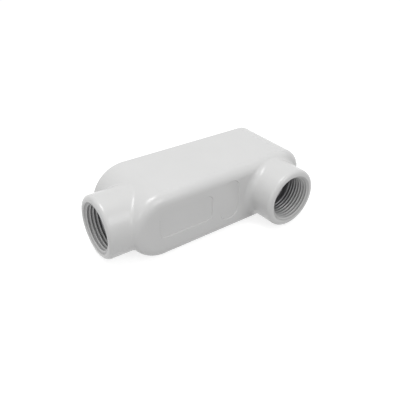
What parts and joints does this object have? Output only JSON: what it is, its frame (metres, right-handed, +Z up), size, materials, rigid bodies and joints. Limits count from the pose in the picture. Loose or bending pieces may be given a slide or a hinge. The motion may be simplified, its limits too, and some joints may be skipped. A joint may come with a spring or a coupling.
{
  "type": "conduit body",
  "caption": "Hollow angle body for threaded three-quarter-inch conduit: a threaded hub on its end, another on its back, and a cover opening with two screw bosses.",
  "frame": {"origin": "on the cover seat, midway between the two cover screws", "axes": "+X along the body, from the end hub to the far end; +Y out of the cover opening; +Z up, across the body's width, as it lies on a side wall"},
  "size_m": [0.1222, 0.0577, 0.0366],
  "materials": {
    "painted_casting": "light grey semi-gloss enamel over die-cast aluminium"
  },
  "bodies": {
    "root": {"conduit_body": "painted_casting"}
  },
  "joints": []
}
